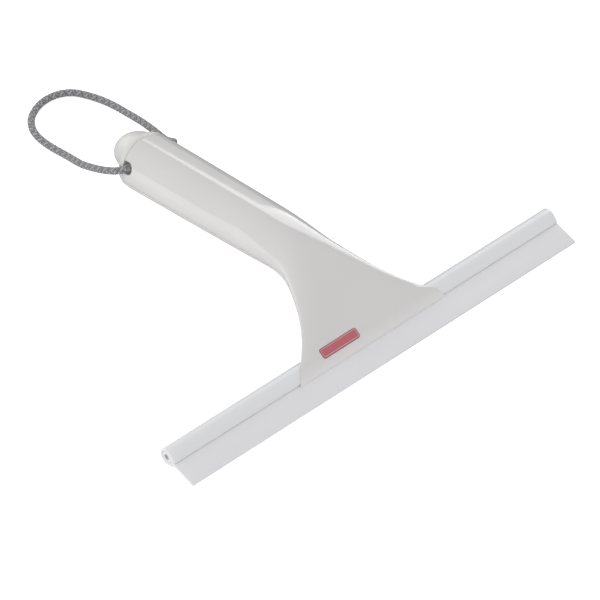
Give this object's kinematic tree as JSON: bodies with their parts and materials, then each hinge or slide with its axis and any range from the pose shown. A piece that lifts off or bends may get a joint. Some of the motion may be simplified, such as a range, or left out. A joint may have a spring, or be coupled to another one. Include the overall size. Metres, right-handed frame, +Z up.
{
  "type": "window squeegee",
  "caption": "Household window squeegee with an arched round handle, flared head, slide-in rubber blade in a channel and a corded end cap.",
  "frame": {"origin": "on the surface the squeegee lies on, below the middle of the length from the blade's working edge to the tip of the cap", "axes": "+X along the blade, +Y from the blade towards the end cap, +Z up from the surface it lies on"},
  "size_m": [0.24, 0.2509, 0.0385],
  "materials": {
    "shell": "glossy warm off-white moulded plastic",
    "cap": "satin off-white moulded plastic",
    "channel": "satin light grey extruded plastic",
    "rubber": "smooth light grey silicone rubber",
    "badge": "gloss red",
    "cord": "braided grey cord with lighter flecks",
    "ferrule": "plain crimped tube",
    "screws": "zinc plated"
  },
  "bodies": {
    "root": {"front_shell": "shell", "rear_shell": "shell", "shell_screws": "screws", "blade_channel": "channel", "badge": "badge"},
    "blade": {"rubber_blade": "rubber"},
    "cap": {"end_cap": "cap"},
    "cord": {"hang_cord": "cord", "cord_ferrule": "ferrule"}
  },
  "joints": [
    {"name": "blade_slide", "type": "slide", "parent": "root", "child": "blade", "axis": [1, 0, 0], "range_m": [-0.24, 0.24]},
    {"name": "cap_pull", "type": "slide", "parent": "root", "child": "cap", "axis": [0, 0.9928, -0.1201], "range_m": [0, 0.022]},
    {"name": "loop_swing", "type": "hinge", "parent": "cap", "child": "cord", "pos_m": [0, 0.07233, 0.01949], "axis": [1, 0, 0], "range_deg": [0, 75]}
  ]
}
